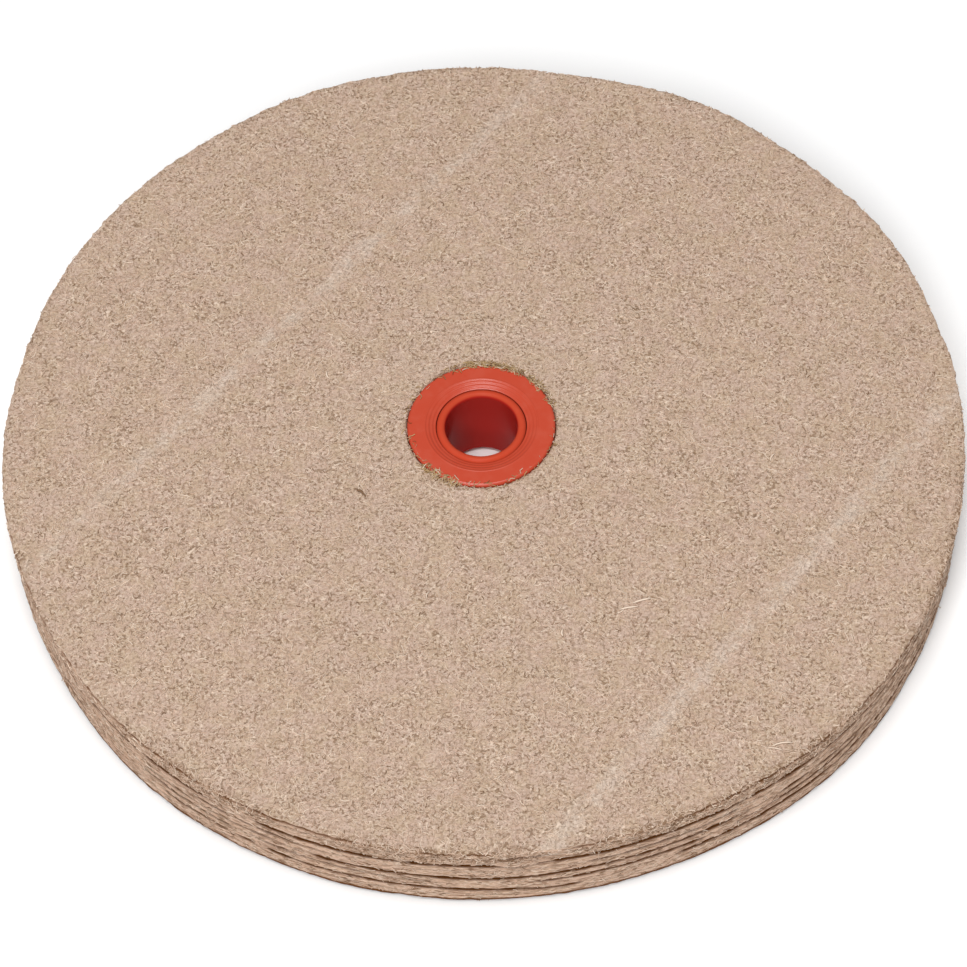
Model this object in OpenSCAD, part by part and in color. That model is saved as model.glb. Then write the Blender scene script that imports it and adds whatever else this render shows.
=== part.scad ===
// Felt polishing wheel for a lapidary polishing machine.
// Thin round felt plies are stacked face to face and clamped at the centre by a hub of
// two moulded halves that snap together: a flanged sleeve with the spindle bore, pushed in
// from below, and a flanged ring with a collar, pushed on from above.
// Millimetres. The origin is at the centre of the hub's lower face, +Z is the spindle axis.

/* [Felt stack] */
// Outer diameter of the wheel
wheel_d = 160; // [100:1:250]
// Number of felt plies
plies = 8; // [3:1:20]
// Thickness of one felt ply
ply_t = 1.9; // [1.2:0.1:4]
// Width of the worn bevel on both outer edges of a ply
edge_bevel = 0.3; // [0.1:0.05:0.5]

/* [Hub] */
// Diameter of the spindle bore
bore_d = 12; // [6:0.5:20]
// Wall of the sleeve round the bore
sleeve_wall = 1.5; // [1:0.1:3]
// Wall of the ring's collar round the sleeve
collar_wall = 1.7; // [1:0.1:3]
// Width of the flange outside the collar
flange_w = 3.05; // [2:0.05:8]
// Thickness of each flange
flange_t = 1.6; // [1.2:0.1:3]
// Height of each flange above the felt face beside it
flange_proud = 0.4; // [0.1:0.1:1]
// Radius of the round on a flange's outer edge
flange_round = 0.5; // [0.2:0.1:0.6]
// Depth of the dish in each hub face
dish_depth = 0.55; // [0.2:0.05:0.8]
// Depth of the sleeve's upper end below the ring's face
sleeve_sink = 0.2; // [0.1:0.05:0.5]

/* [Snap bead] */
// Height of the bead on the sleeve above its wall
bead_h = 0.3; // [0.2:0.05:0.4]
// Distance from the hub's upper face down to the bead's middle
bead_below_top = 4; // [3:0.5:6]

/* [Clearances] */
// Gap between the sleeve and the ring's bore, on the radius
snap_clear = 0.1; // [0.05:0.05:0.2]
// Gap between the felt and the hub, on the radius
felt_clear = 0.15; // [0.05:0.05:0.3]
// Gap between the collar's lower end and the lower flange
collar_gap = 0.3; // [0.1:0.1:1]

/* [Hidden] */
$fn = 96;
stack_t = plies * ply_t;
hub_h = stack_t + 2 * flange_proud;
bore_r = bore_d / 2;
sleeve_r = bore_r + sleeve_wall;
ring_bore_r = sleeve_r + snap_clear;
collar_r = ring_bore_r + collar_wall;
flange_r = collar_r + flange_w;
sleeve_end_r = sleeve_wall / 2;
bead_z = hub_h - bead_below_top;
cut_margin = 1;

// One felt ply: a flat disc with bevelled edges, and a hole or pocket wherever the hub is
module felt_disc(number) {
    base_z = flange_proud + (number - 1) * ply_t;
    color("tan")
    difference() {
        translate([0, 0, base_z])
            bevelled_disc(wheel_d / 2, ply_t, edge_bevel);
        translate([0, 0, -cut_margin])
            cylinder(r = collar_r + felt_clear, h = hub_h + 2 * cut_margin);
        translate([0, 0, -cut_margin])
            cylinder(r = flange_r + felt_clear, h = flange_t + cut_margin);
        translate([0, 0, hub_h - flange_t])
            cylinder(r = flange_r + felt_clear, h = flange_t + cut_margin);
    }
}

// A disc with the same bevel on its lower and upper rim
module bevelled_disc(radius, height, bevel) {
    rotate_extrude()
        polygon([
            [0, 0],
            [radius - bevel, 0],
            [radius, bevel],
            [radius, height - bevel],
            [radius - bevel, height],
            [0, height]
        ]);
}

// Half section of a flange with a rounded outer edge, lying on z = 0 with its face upwards
module flange_section(inner_r) {
    translate([inner_r, 0])
        square([flange_r - inner_r - flange_round, flange_t]);
    translate([inner_r, 0])
        square([flange_r - inner_r, flange_t - flange_round]);
    translate([flange_r - flange_round, flange_t - flange_round])
        circle(r = flange_round);
}

// Half section of the dish cut into a hub face at the given height, shallow at the collar's
// outside and deepest at the ring's bore
module dish_section(face_z) {
    polygon([
        [collar_r, face_z],
        [ring_bore_r, face_z - dish_depth],
        [0, face_z - dish_depth],
        [0, face_z + cut_margin],
        [collar_r, face_z + cut_margin]
    ]);
}

// Half section of the snap bead, grown by the given clearance for the groove that takes it
module bead_section(clearance) {
    reach = bead_h + clearance;
    polygon([
        [sleeve_r - sleeve_wall / 2, bead_z - reach],
        [sleeve_r, bead_z - reach],
        [sleeve_r + reach, bead_z],
        [sleeve_r, bead_z + reach],
        [sleeve_r - sleeve_wall / 2, bead_z + reach]
    ]);
}

// Lower half of the hub: flange, bore tube with a rounded upper end, and snap bead
module hub_sleeve() {
    tube_top = hub_h - sleeve_sink;
    color("tomato")
    rotate_extrude() {
        difference() {
            translate([0, flange_t])
                mirror([0, 1])
                    flange_section(bore_r + sleeve_end_r);
            mirror([0, 1])
                dish_section(0);
        }
        translate([bore_r, sleeve_sink + sleeve_end_r])
            square([sleeve_wall, tube_top - sleeve_sink - 2 * sleeve_end_r]);
        translate([bore_r + sleeve_end_r, sleeve_sink + sleeve_end_r])
            circle(r = sleeve_end_r);
        translate([bore_r + sleeve_end_r, tube_top - sleeve_end_r])
            circle(r = sleeve_end_r);
        bead_section(0);
    }
}

// Upper half of the hub: dished flange and the collar that grips the sleeve's bead
module hub_ring() {
    collar_bottom = flange_t + collar_gap;
    color("tomato")
    rotate_extrude()
        difference() {
            union() {
                translate([0, hub_h - flange_t])
                    flange_section(ring_bore_r);
                translate([ring_bore_r, collar_bottom])
                    square([collar_wall, hub_h - collar_bottom]);
            }
            dish_section(hub_h);
            bead_section(snap_clear);
        }
}

for (i = [1 : plies])
    felt_disc(i);
hub_sleeve();
hub_ring();
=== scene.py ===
"""Felt polishing wheel: soft felt plies and fibres built round the hub and its discs.

Lengths are in metres in the wheel's own frame: the origin is at the centre of the hub's lower
face, and +Z runs along the spindle axis. Sizes inside the materials are in millimetres.
Directions round the wheel are in degrees from +X, and seams are counted from the top.
"""

import itertools
import math

import bpy
import numpy as np
from mathutils import Matrix, Vector


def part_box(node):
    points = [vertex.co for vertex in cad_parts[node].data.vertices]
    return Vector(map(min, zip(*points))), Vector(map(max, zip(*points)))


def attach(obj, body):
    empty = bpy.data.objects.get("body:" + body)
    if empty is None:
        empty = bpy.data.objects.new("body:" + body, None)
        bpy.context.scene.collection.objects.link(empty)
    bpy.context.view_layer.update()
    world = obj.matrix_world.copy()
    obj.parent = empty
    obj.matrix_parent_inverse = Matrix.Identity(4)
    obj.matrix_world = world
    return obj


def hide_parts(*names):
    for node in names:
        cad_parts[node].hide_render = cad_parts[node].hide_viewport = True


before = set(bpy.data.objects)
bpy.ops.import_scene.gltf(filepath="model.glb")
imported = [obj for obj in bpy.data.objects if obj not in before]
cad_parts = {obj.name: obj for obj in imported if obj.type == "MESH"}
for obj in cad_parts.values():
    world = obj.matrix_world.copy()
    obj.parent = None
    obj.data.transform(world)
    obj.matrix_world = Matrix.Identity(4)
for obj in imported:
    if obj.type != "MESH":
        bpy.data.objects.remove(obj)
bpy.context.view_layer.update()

bl_info = {
    "name": "Felt polishing wheel",
    "version": (1, 0, 0),
    "blender": (4, 5, 0),
    "location": "View3D > Sidebar > Felt wheel",
    "description": "Builds the plies, fibres, hub finish and stage of a felt polishing wheel",
    "category": "Object",
}

MM = 0.001
BODY = "root"
FELT_SLOT = "felt"
PLY_NODES = sorted(
    (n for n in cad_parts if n.startswith("felt_disc_")),
    key=lambda name: int(name.rsplit("_", 1)[1]),
)
PLY_COUNT = len(PLY_NODES)
WHEEL_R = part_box(PLY_NODES[0])[1].x
FELT_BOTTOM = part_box(PLY_NODES[0])[0].z
FELT_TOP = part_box(PLY_NODES[-1])[1].z
PLY_T = (FELT_TOP - FELT_BOTTOM) / PLY_COUNT
FLANGE_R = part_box("hub_ring")[1].x
BORE_R_MM = 6.0
RING_SPACING_MM = 0.62


def hole_radius(node):
    """The radius of a disc's centre hole, from its vertex nearest the axis."""
    points = np.array([v.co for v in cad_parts[node].data.vertices])
    return float(np.hypot(points[:, 0], points[:, 1]).min())


HOLE_R = hole_radius(PLY_NODES[1])


# ---------------------------------------------------------------- user settings


class FeltWheelSettings(bpy.types.PropertyGroup):
    """Sizes of the felt and its fibres."""

    seam_gap: bpy.props.FloatProperty(
        name="Seam gap", description="Width of an open seam at the rim",
        default=0.82 * MM, min=0.0, unit="LENGTH", precision=5)
    seam_depth: bpy.props.FloatProperty(
        name="Seam depth", description="How far an open seam runs in from the rim",
        default=3.5 * MM, min=0.5 * MM, unit="LENGTH", precision=5)
    seam_sway: bpy.props.FloatProperty(
        name="Seam sway", description="How far a seam wanders up and down along the rim",
        default=0.22 * MM, min=0.0, unit="LENGTH", precision=5)
    rim_wander: bpy.props.FloatProperty(
        name="Rim wander", description="How far a ply's edge wanders in and out",
        default=0.22 * MM, min=0.0, unit="LENGTH", precision=5)
    rim_roughness: bpy.props.FloatProperty(
        name="Rim roughness", description="Height of the cut rim's fine relief",
        default=0.11 * MM, min=0.0, unit="LENGTH", precision=5)
    face_relief: bpy.props.FloatProperty(
        name="Face relief", description="Height of the soft swells on the faces",
        default=0.14 * MM, min=0.0, unit="LENGTH", precision=5)
    fibre_width: bpy.props.FloatProperty(
        name="Fibre width", description="Thickness of a loose fibre",
        default=0.15 * MM, min=0.02 * MM, unit="LENGTH", precision=5)
    nap_density: bpy.props.FloatProperty(
        name="Nap density", description="Loose fibres on a square metre of a face",
        default=640000.0, min=0.0)
    felt_pink: bpy.props.FloatVectorProperty(
        name="Felt, pinkish", description="Colour of the pinker wool",
        subtype="COLOR", size=3, min=0.0, max=1.0, default=(0.530, 0.382, 0.304))
    felt_tan: bpy.props.FloatVectorProperty(
        name="Felt, tan", description="Colour of the yellower wool",
        subtype="COLOR", size=3, min=0.0, max=1.0, default=(0.504, 0.368, 0.262))
    felt_rim: bpy.props.FloatVectorProperty(
        name="Felt, rim", description="Warm tint of the cut edges",
        subtype="COLOR", size=3, min=0.0, max=1.0, default=(0.620, 0.400, 0.285))
    felt_dark: bpy.props.FloatVectorProperty(
        name="Felt, dark", description="Colour of the hollows between fibres",
        subtype="COLOR", size=3, min=0.0, max=1.0, default=(0.215, 0.125, 0.070))
    felt_pale: bpy.props.FloatVectorProperty(
        name="Felt, pale", description="Colour of the palest fibres",
        subtype="COLOR", size=3, min=0.0, max=1.0, default=(0.800, 0.650, 0.525))
    # Painted shade: the colour that the seams, creases and the lowest ply's foot are darkened
    # towards
    seam_shade_brown: bpy.props.FloatVectorProperty(
        name="Seam brown", description="Colour deep inside the seams",
        subtype="COLOR", size=3, min=0.0, max=1.0, default=(0.125, 0.045, 0.013))
    chalk: bpy.props.FloatVectorProperty(
        name="Chalk", description="Colour of the two pale streaks on the face",
        subtype="COLOR", size=3, min=0.0, max=1.0, default=(0.700, 0.590, 0.505))


class HubSettings(bpy.types.PropertyGroup):
    """Finish of the moulded hub."""

    plastic: bpy.props.FloatVectorProperty(
        name="Plastic", description="Colour of the moulded plastic",
        subtype="COLOR", size=3, min=0.0, max=1.0, default=(0.510, 0.058, 0.025))
    plastic_shade: bpy.props.FloatVectorProperty(
        name="Plastic, worn", description="Colour of the plastic where it is rubbed",
        subtype="COLOR", size=3, min=0.0, max=1.0, default=(0.540, 0.085, 0.045))
    # Painted shade: the bore's wall is the same plastic, darkened towards this colour
    bore_painted_shade: bpy.props.FloatVectorProperty(
        name="Plastic, bore", description="Colour of the plastic inside the bore",
        subtype="COLOR", size=3, min=0.0, max=1.0, default=(0.420, 0.020, 0.014))
    roughness: bpy.props.FloatProperty(
        name="Roughness", description="Middle roughness of the plastic",
        default=0.36, min=0.0, max=1.0)


class StageSettings(bpy.types.PropertyGroup):
    """Camera and light."""

    camera_distance: bpy.props.FloatProperty(
        name="Camera distance", description="From the lens to the centre of the upper felt face",
        default=0.5106, min=0.1, unit="LENGTH")
    camera_elevation: bpy.props.FloatProperty(
        name="Camera elevation", description="Height of the camera above the wheel's plane",
        default=math.radians(54.61), subtype="ANGLE")
    camera_pitch: bpy.props.FloatProperty(
        name="Camera pitch", description="How far the camera looks below the centre",
        default=math.radians(-1.083), subtype="ANGLE")
    camera_roll: bpy.props.FloatProperty(
        name="Camera roll", description="Turn of the camera about its own axis",
        default=math.radians(-2.20), subtype="ANGLE")
    lens: bpy.props.FloatProperty(
        name="Lens", description="Focal length in millimetres on a 36 mm sensor",
        default=114.25, min=10.0)
    floor_size: bpy.props.FloatProperty(
        name="Floor size", description="Side of the square floor",
        default=6.0, min=0.5, unit="LENGTH")
    sky: bpy.props.FloatProperty(
        name="Sky light", description="Strength of the even light from all round",
        default=0.22, min=0.0)
    lamp: bpy.props.FloatProperty(
        name="Lamp power", description="Power of the soft lamp above",
        default=9.5, min=0.0)
    front_lamp: bpy.props.FloatProperty(
        name="Front lamp power", description="Power of the soft lamp in front",
        default=12.6, min=0.0)


# ---------------------------------------------------------------- noise and curves in numpy


WORD = 0xFFFFFFFF
FINE = 0xFFFFFF


def lattice(ix, iy, iz, seed):
    """A repeatable value from 0 to 1 at each whole-number point, by mixing its bits."""
    h = (ix * 374761393 + iy * 668265263 + iz * 2147483647 + seed * 974711) & WORD
    h = ((h ^ (h >> 13)) * 1274126177) & WORD
    h = ((h ^ (h >> 16)) * 2246822519) & WORD
    return ((h ^ (h >> 15)) & FINE) / FINE


def noise(points, size, seed):
    """Smooth noise from -1 to 1 with features of the given size."""
    p = np.asarray(points, float) / size
    cell = np.floor(p)
    t = p - cell
    t = t * t * (3 - 2 * t)
    cell = cell.astype(np.int64)
    total = 0.0
    for corner in itertools.product((0, 1), repeat=3):
        weight = np.prod(np.abs(1 - np.array(corner) - t), axis=-1)
        total = total + weight * lattice(*np.moveaxis(cell + np.array(corner), -1, 0), seed)
    return 2 * total - 1


def around(theta, waves, seed):
    """Smooth noise from -1 to 1 along the rim, with about the given number of waves round it."""
    radius = waves / (2 * math.pi)
    ring = np.stack([np.cos(theta) * radius, np.sin(theta) * radius, np.zeros_like(theta)], -1)
    return noise(ring, 0.5, seed)


def smooth(t):
    """A soft step from 0 to 1 as t goes from 0 to 1."""
    t = np.clip(t, 0, 1)
    return t * t * (3 - 2 * t)


def angle_from(theta, degrees):
    """Signed angle in degrees from a direction, in -180 to 180."""
    return (np.degrees(theta) - degrees + 180) % 360 - 180


def hump(theta, direction, width):
    """1 at a direction, falling to 0 on both sides."""
    return np.exp(-((angle_from(theta, direction) / width) ** 2))


def stretch(theta, start, end, soft=1.6):
    """1 between two directions in degrees, falling to 0 past both ends."""
    middle, half = (start + end) / 2, (end - start) / 2
    return smooth((half + soft / 2 - np.abs(angle_from(theta, middle))) / soft)


# ---------------------------------------------------------------- the seams between plies

# Where each seam is open along the front of the rim, as (first, last direction, how far open)
FRONT = (-146, -42)
OPEN_STRETCHES = {
    1: [(-90, -85, 0.35)],
    2: [(-146, -124, 0.85), (-118, -101, 1.0), (-100, -90, 1.0), (-90, -84, 0.45),
        (-84, -50, 1.0), (-50, -42, 1.0)],
    3: [(-127, -109, 0.6), (-80, -62, 0.4)],
    4: [(-134, -114, 0.5), (-111, -62, 1.0), (-61, -56, 0.5), (-56, -42, 0.9)],
    5: [(-134, -121, 0.5), (-117, -97, 0.4), (-86, -66, 0.85), (-66, -57, 0.4), (-57, -44, 0.8)],
    6: [(-131, -118, 0.9), (-117, -81, 0.9), (-69, -48, 1.1), (-48, -42, 0.8)],
    7: [(-112, -107, 0.3)],
}
# Where each seam sags, as (direction, sag in millimetres, width in degrees)
SAGS = {
    2: [(-88, 1.1, 2.2)],
    4: [(-90, 0.35, 6.0), (-111, 0.35, 5.0)],
    5: [(-84, 0.35, 4.0)],
    6: [(-83, 0.9, 6.0), (-66, -0.1, 3.0)],
}
# Where the top edge is creased, as (first, last direction, depth share)
EDGE_CREASES = [
    (-164, -147, 1.0), (-145, -125, 0.9), (-122, -104, 1.0), (-98.5, -95, 0.5),
    (-94, -91, 1.0), (-83, -78, 0.9), (-70, -49, 1.0), (-47, -32, 0.8),
]
# Where the top edge is frayed, as (first, last direction)
FRAYS = [(-132, -116), (-108, -86), (-80, -44), (-30, -10)]
# Where the wheel is out of round, as (direction, rise in millimetres, width in degrees)
OUT_OF_ROUND = [
    (-46, 0.75, 14), (29, 0.7, 9), (56, 0.65, 9), (78, -0.7, 10), (112, 0.45, 8),
    (166, -0.8, 13), (-154, -0.65, 16),
]
EVEN_SEAM_OPENING, ODD_SEAM_OPENING = 1.0, 0.45


def seam_opening(seam, theta):
    """How far a seam is open at each direction, from 0 to 1."""
    if seam in (0, PLY_COUNT):
        return np.zeros_like(theta)
    strong = ODD_SEAM_OPENING if seam % 2 else EVEN_SEAM_OPENING
    opening = strong * smooth(1.6 * around(theta, 14, 40 + seam) + 0.75)
    front = stretch(theta, *FRONT, soft=8)
    listed = np.zeros_like(theta)
    for start, end, share in OPEN_STRETCHES.get(seam, ()):
        listed = np.maximum(listed, share * stretch(theta, start, end))
    ragged = 0.8 + 0.3 * around(theta, 150, 60 + seam)
    return (opening * (1 - front) + listed * front) * np.clip(ragged, 0.35, 1.1)


def seam_height(seam, theta, settings):
    """Height of the seam at the rim. 0 is the top face and PLY_COUNT the lowest face."""
    z = FELT_TOP - seam * PLY_T + 0 * theta
    if seam in (0, PLY_COUNT):
        return z
    z += settings.seam_sway * (around(theta, 9, 11 + seam) + 0.4 * around(theta, 40, 21 + seam))
    for direction, sag, width in SAGS.get(seam, ()):
        z -= sag * MM * hump(theta, direction, width)
    return z


def rim_radius(ply, theta, settings):
    """Radius of a ply's edge. All plies share the wheel's own slow wobble."""
    wobble = 0.3 * around(theta, 4, 3)
    own = 0.55 * around(theta, 7, 70 + ply) + 0.25 * around(theta, 60, 80 + ply)
    shape = sum(rise * MM * hump(theta, at, width) for at, rise, width in OUT_OF_ROUND)
    return WHEEL_R - 0.5 * settings.rim_wander + settings.rim_wander * (wobble + own) * 0.7 + shape


# ---------------------------------------------------------------- one ply's mesh

ANGLES = 1080
ROUND_STEPS, RIM_STEPS = 3, 6
HALF_STEPS = ROUND_STEPS + RIM_STEPS / 2
TOP_STEP, BOTTOM_STEP = 1.1 * MM, 2.6 * MM
EDGE_R = 0.3 * MM
POCKET_R = FLANGE_R + 0.12 * MM
POCKET_DEPTH = 1.2 * MM
LIP_R = 0.35 * MM
HUB_SWELL_RUN = 1.6 * MM
SETTLE_RUN = 12 * MM
SEAM_CLEAR = 0.01 * MM
CREASE_BELOW_TOP, CREASE_WIDTH, CREASE_DEPTH = 0.42 * MM, 0.2 * MM, 0.5 * MM
# Depth of the top edge's crease at which its painted shade is full
CREASE_FULL_SHADE = 0.2 * MM
TORN_RELIEF = 0.16 * MM
# Height and fade of the painted shadow along the lowest ply's foot
SHADOWED_FOOT, SHADOWED_FOOT_FADE = 1.05 * MM, 0.45 * MM
FRAY_BAND, FRAY_FADE = 3.6 * MM, 1.5 * MM
# What each ring of a ply carries after its points; the third value is the painted shade of seams,
# creases and the hub's pocket
RING_VALUES = ("nap_face", "nap_rim", "crease", "ragged")


def ring_points(radius, height, theta):
    """One ring of points round the axis."""
    r = np.broadcast_to(radius, theta.shape)
    z = np.broadcast_to(height, theta.shape)
    return np.stack([r * np.cos(theta), r * np.sin(theta), z], -1)


def face_swell(points, settings):
    """Height of the soft swells on a face."""
    return settings.face_relief * (
        0.5 * noise(points, 9 * MM, 5) + 0.5 * noise(points, 3.2 * MM, 6)
        + 0.35 * noise(points, 1.5 * MM, 7))


def face_rows(outer_r, base_z, side, step, theta, settings):
    """Rings of an outside face, from near the rim in to the hub's pocket. side is 1 for the
    upper face and -1 for the lower."""
    rows = []
    inner_r = POCKET_R + LIP_R
    count = int(round((WHEEL_R - inner_r) / step))
    for i in range(1, count + 1):
        share = i / count
        radius = outer_r + (inner_r - outer_r) * share
        points = ring_points(radius, base_z, theta)
        if side > 0:
            points[:, 2] += face_swell(points, settings) * smooth((1 - share) * 12 + 0.2)
            near_hub = np.exp(-((radius - inner_r) / HUB_SWELL_RUN) ** 2)
            points[:, 2] += near_hub * MM * (0.1 + 0.1 * around(theta, 20, 9))
        rows.append((points, 1.0, 0.0, 0.0, 0.0))
    height = rows[-1][0][:, 2]
    # The lip down into the hub's pocket and the pocket itself, with a little painted shade on the
    # lip and full painted shade in the pocket
    for i in range(1, ROUND_STEPS + 1):
        turn = i / ROUND_STEPS * math.pi / 2
        radius = inner_r - LIP_R * math.sin(turn)
        drop = side * LIP_R * (1 - math.cos(turn))
        rows.append((ring_points(radius, height - drop, theta), 0.4, 0.0, 0.3, 0.0))
    for radius in (POCKET_R, HOLE_R):
        rows.append((ring_points(radius, base_z - side * POCKET_DEPTH, theta), 0.0, 0.0, 1.0, 0.0))
    return rows


def inner_rows(outer_r, rim_z, flat_z, opening, side, theta, settings):
    """Rings of a face that lies against the next ply, from the rim's round in to the hole."""
    rows = []
    for depth in (0.15, 0.7, 1.5, 2.6, 4.5, 14.0):
        d = EDGE_R + depth * MM
        gap = smooth(1 - d / settings.seam_depth) * opening * settings.seam_gap / 2
        settle = smooth(d / SETTLE_RUN)
        height = rim_z * (1 - settle) + flat_z * settle - side * (gap + SEAM_CLEAR)
        # Painted shade on the faces that lie against the next ply: full from a millimetre in, and
        # at the rim stronger where the seam is open
        crease = 0.4 + 0.6 * np.clip(opening * 1.5 + depth, 0, 1)
        rows.append((ring_points(outer_r - d, height, theta), 0.0, 0.0, crease, 0.0))
    rows.append((ring_points(HOLE_R, flat_z - side * SEAM_CLEAR, theta), 0.0, 0.0, 1.0, 0.0))
    return rows


def fray(theta):
    """How frayed the upper rim is at each direction, from 0 to 1."""
    listed = np.max([stretch(theta, start, end, soft=6) for start, end in FRAYS], axis=0)
    other = smooth(1.5 * around(theta, 18, 37) + 0.4) * (1 - stretch(theta, -152, -42, soft=6))
    return 0.12 + 0.88 * np.maximum(listed, 0.4 * other)


def crease_pull(z, theta):
    """How far in the top edge's crease pulls the rim at each height."""
    depth = np.zeros_like(theta)
    for start, end, share in EDGE_CREASES:
        depth = np.maximum(depth, share * stretch(theta, start, end, soft=1.2))
    depth = depth + 0.6 * smooth(2 * around(theta, 26, 33) - 0.2) * (1 - stretch(theta, *FRONT))
    ragged = np.clip(0.75 + 0.5 * around(theta, 220, 34), 0.1, 1.2)
    groove = np.exp(-(((FELT_TOP - CREASE_BELOW_TOP - z) / CREASE_WIDTH) ** 2))
    return CREASE_DEPTH * np.clip(depth, 0, 1) * ragged * groove


def rim_rows(ply, outer_r, low, high, theta, settings):
    """Rings over the rounded lower edge, the cut rim and the rounded upper edge. low and high
    are each the seam's height, half gap and opening."""
    rows = []
    low_z, low_gap, low_open = low
    high_z, high_gap, high_open = high
    for i in range(ROUND_STEPS + RIM_STEPS + ROUND_STEPS + 1):
        past_middle = i - HALF_STEPS
        if i <= ROUND_STEPS:
            turn = (1 - i / ROUND_STEPS) * math.pi / 2
            z = low_z + low_gap + EDGE_R * (1 - math.sin(turn))
            inset = EDGE_R * (1 - math.cos(turn))
        elif i >= ROUND_STEPS + RIM_STEPS:
            turn = (i - ROUND_STEPS - RIM_STEPS) / ROUND_STEPS * math.pi / 2
            z = high_z - high_gap - EDGE_R * (1 - math.sin(turn))
            inset = EDGE_R * (1 - math.cos(turn))
        else:
            share = (i - ROUND_STEPS) / RIM_STEPS
            z = (low_z + low_gap + EDGE_R) * (1 - share) + (high_z - high_gap - EDGE_R) * share
            inset = 0.0
        points = ring_points(outer_r - inset, z, theta)
        squashed = points * np.array([1, 1, 4.0])
        rough = (0.6 * noise(squashed, 2.6 * MM, 90 + ply) + 0.5 * noise(squashed, 1.1 * MM, 50)
                 + 0.5 * noise(points, 0.8 * MM, 51))
        pull = settings.rim_roughness * rough
        # Painted shade on the rounded corners at the seams, stronger where the seam is open
        near_seam = smooth((abs(past_middle / HALF_STEPS) - 0.55) / 0.42)
        painted_shade = near_seam * np.clip(1.4 * (high_open if past_middle > 0 else low_open), 0, 1)
        # Painted shadow along the foot of the lowest ply, from the gap beneath the wheel
        if ply == 1 and past_middle < 0:
            painted_shade = 0.95 * smooth((FELT_BOTTOM + SHADOWED_FOOT - z) / SHADOWED_FOOT_FADE)
        if ply == PLY_COUNT:
            crease = crease_pull(z, theta)
            pull = pull - crease + smooth(past_middle / ROUND_STEPS) * TORN_RELIEF * (
                noise(points, 0.9 * MM, 57) + 0.6 * noise(points, 1.9 * MM, 58))
            # Painted shade in the top edge's crease, growing with its depth
            painted_shade = np.maximum(painted_shade, np.clip(crease / CREASE_FULL_SHADE, 0, 1))
        points[:, 0] += pull * np.cos(theta)
        points[:, 1] += pull * np.sin(theta)
        at_edge = np.clip((z - (FELT_TOP - FRAY_BAND)) / FRAY_FADE, 0, 1) * fray(theta)
        rows.append((points, 0.0, 1.0, painted_shade, at_edge))
    return rows


def ply_mesh(ply, settings):
    """A closed mesh of one ply, counted from 1 at the bottom, with the ring values that the
    fibres and the felt's colour read, its painted shade among them."""
    theta = np.arange(ANGLES) * 2 * math.pi / ANGLES
    outer_r = rim_radius(ply, theta, settings)
    edges = []
    for seam in (PLY_COUNT - ply + 1, PLY_COUNT - ply):
        opening = seam_opening(seam, theta)
        gap = 0 * theta if seam in (0, PLY_COUNT) else (0.1 + opening) * settings.seam_gap / 2
        edges.append((seam_height(seam, theta, settings), gap, opening, FELT_TOP - seam * PLY_T))
    (low_z, _, low_open, low_flat), (high_z, _, high_open, high_flat) = edges
    face_r = outer_r - EDGE_R
    if ply == 1:
        lower = face_rows(face_r, low_flat, -1, BOTTOM_STEP, theta, settings)
    else:
        lower = inner_rows(outer_r, low_z, low_flat, low_open, -1, theta, settings)
    if ply == PLY_COUNT:
        upper = face_rows(face_r, high_flat, 1, TOP_STEP, theta, settings)
    else:
        upper = inner_rows(outer_r, high_z, high_flat, high_open, 1, theta, settings)
    rim = rim_rows(ply, outer_r, edges[0][:3], edges[1][:3], theta, settings)
    rows = lower[::-1] + rim + upper
    points = np.concatenate([row[0] for row in rows])
    mesh = mesh_from(f"felt_ply_{ply}", points, ring_quads(len(rows), ANGLES, closed=True))
    for column, name in enumerate(RING_VALUES, 1):
        values = [np.broadcast_to(row[column], ANGLES) for row in rows]
        set_attribute(mesh, name, np.concatenate(values))
    return mesh


def ring_quads(rows, columns, closed=False):
    """Faces between rings of points. closed joins the last ring to the first."""
    i, j = np.meshgrid(np.arange(rows if closed else rows - 1), np.arange(columns), indexing="ij")
    up, on = (i + 1) % rows, (j + 1) % columns
    quads = np.stack([i * columns + j, i * columns + on, up * columns + on, up * columns + j], -1)
    return quads.reshape(-1, 4)


def mesh_from(name, points, quads):
    """A smooth mesh of four-sided faces."""
    mesh = bpy.data.meshes.new(name)
    mesh.vertices.add(len(points))
    mesh.vertices.foreach_set("co", points.astype(np.float32).ravel())
    mesh.loops.add(quads.size)
    mesh.loops.foreach_set("vertex_index", quads.astype(np.int32).ravel())
    mesh.polygons.add(len(quads))
    mesh.polygons.foreach_set("loop_start", (np.arange(len(quads)) * 4).astype(np.int32))
    mesh.polygons.foreach_set("use_smooth", np.ones(len(quads), bool))
    mesh.update(calc_edges=True)
    mesh.validate()
    return mesh


def set_attribute(mesh, name, values):
    """Stores one number for each of the mesh's points."""
    layer = mesh.attributes.new(name, "FLOAT", "POINT")
    layer.data.foreach_set("value", np.asarray(values).astype(np.float32))


def add_object(mesh, material=None, slot=None):
    """Puts a mesh in the scene. A slot makes it a piece that rides on the wheel's body."""
    piece = bpy.data.objects.new(mesh.name, mesh)
    bpy.context.scene.collection.objects.link(piece)
    if material:
        mesh.materials.clear()
        mesh.materials.append(material)
    if slot:
        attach(piece, BODY)
    return piece


# ---------------------------------------------------------------- shader building blocks


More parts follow.
